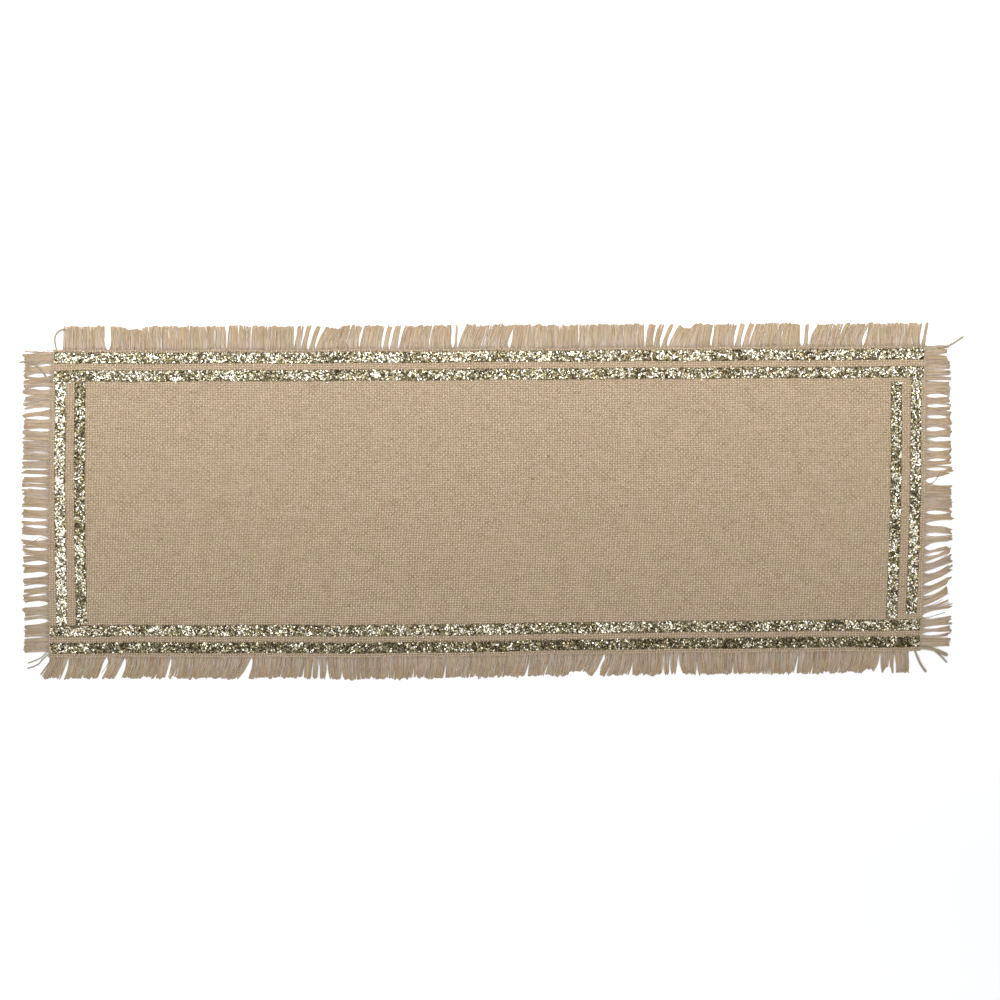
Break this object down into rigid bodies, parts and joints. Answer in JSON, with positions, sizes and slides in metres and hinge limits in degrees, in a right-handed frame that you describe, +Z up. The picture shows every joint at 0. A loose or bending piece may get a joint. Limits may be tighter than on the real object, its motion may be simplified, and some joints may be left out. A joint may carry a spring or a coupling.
{
  "type": "table runner",
  "caption": "Flat rectangular jute burlap table runner with gold glitter stripes framing the cloth and a frayed yarn fringe on every side.",
  "frame": {"origin": "on the table, under the middle of the runner, fringe included", "axes": "+X along the runner's length, +Y across it towards the back long side, +Z up through the cloth"},
  "size_m": [0.914, 0.351, 0.0016],
  "materials": {
    "jute_cloth": "plain-woven natural jute burlap, dry and matt, with slubs and loose fibres",
    "jute_fringe": "loose natural jute yarn ends, slightly warmer and glossier than the cloth",
    "gold_glitter": "metallised champagne-gold polyester flakes lying at all angles in a thin clear glue film"
  },
  "bodies": {
    "root": {"base_cloth": "jute_cloth", "band_back_outer": "gold_glitter", "band_back_inner": "gold_glitter", "band_front_outer": "gold_glitter", "band_front_inner": "gold_glitter", "band_left_outer": "gold_glitter", "band_left_inner": "gold_glitter", "band_right_outer": "gold_glitter", "band_right_inner": "gold_glitter", "fringe_back": "jute_fringe", "fringe_front": "jute_fringe", "fringe_left": "jute_fringe", "fringe_right": "jute_fringe"}
  },
  "joints": []
}
